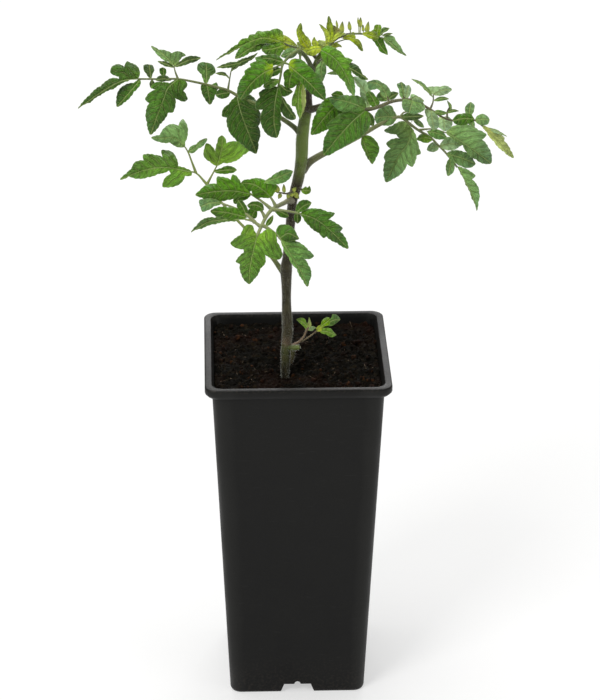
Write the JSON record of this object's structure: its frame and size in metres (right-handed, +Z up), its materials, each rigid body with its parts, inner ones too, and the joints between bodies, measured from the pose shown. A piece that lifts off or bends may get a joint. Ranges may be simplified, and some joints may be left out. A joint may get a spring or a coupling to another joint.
{
  "type": "potted tomato plant",
  "caption": "Young tomato plant with toothed, divided leaves and flower buds, standing in soil in a deep square plastic nursery pot.",
  "frame": {"origin": "on the ground, under the middle of the pot", "axes": "+Z up along the plant, -Y towards the side that the front leaf hangs over, +X to the right of that"},
  "size_m": [0.2498, 0.1104, 0.4227],
  "materials": {
    "pot_plastic": "satin",
    "soil": "matte",
    "stem": "matte",
    "leaf": "satin",
    "young_leaf": "satin",
    "flower_bud": "satin"
  },
  "bodies": {
    "root": {"pot": "pot_plastic", "soil": "soil", "stem": "stem", "leaf_upper_left": "leaf", "leaf_lower_right": "leaf", "leaf_upper_right": "leaf", "leaf_lower_left": "leaf", "leaf_middle_front": "leaf", "leaf_apex_front": "leaf", "leaf_apex_left": "leaf", "leaf_apex_right": "leaf", "leaf_apex_back_right": "leaf", "shoot_tip": "young_leaf", "shoot_at_foot": "young_leaf", "flower_buds_middle": "flower_bud", "flower_buds_side": "flower_bud", "flower_buds_top": "flower_bud"}
  },
  "joints": []
}
